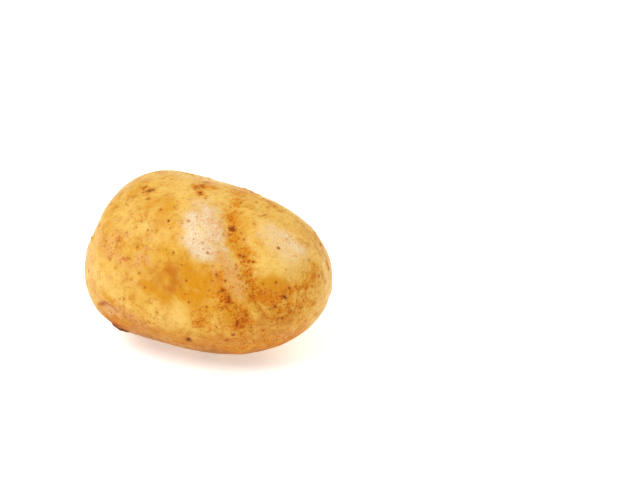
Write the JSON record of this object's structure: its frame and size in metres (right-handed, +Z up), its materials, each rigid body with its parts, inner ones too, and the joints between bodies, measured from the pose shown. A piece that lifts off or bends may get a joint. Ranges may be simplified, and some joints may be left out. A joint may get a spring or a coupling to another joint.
{
  "type": "potato",
  "caption": "Yellow-skinned potato tuber with a shallow waist, lying on its small settled flat spot; a vegetable for food and kitchen scenes.",
  "frame": {"origin": "on the resting plane, below the middle of the tuber's box", "axes": "+X along the tuber's length towards its rose end, +Z up as it lies"},
  "size_m": [0.088, 0.062, 0.058],
  "materials": {
    "skin": "thin waxy potato skin, softly glossy where it is smooth and dull where it is netted with russet"
  },
  "bodies": {
    "root": {"potato": "skin"}
  },
  "joints": []
}
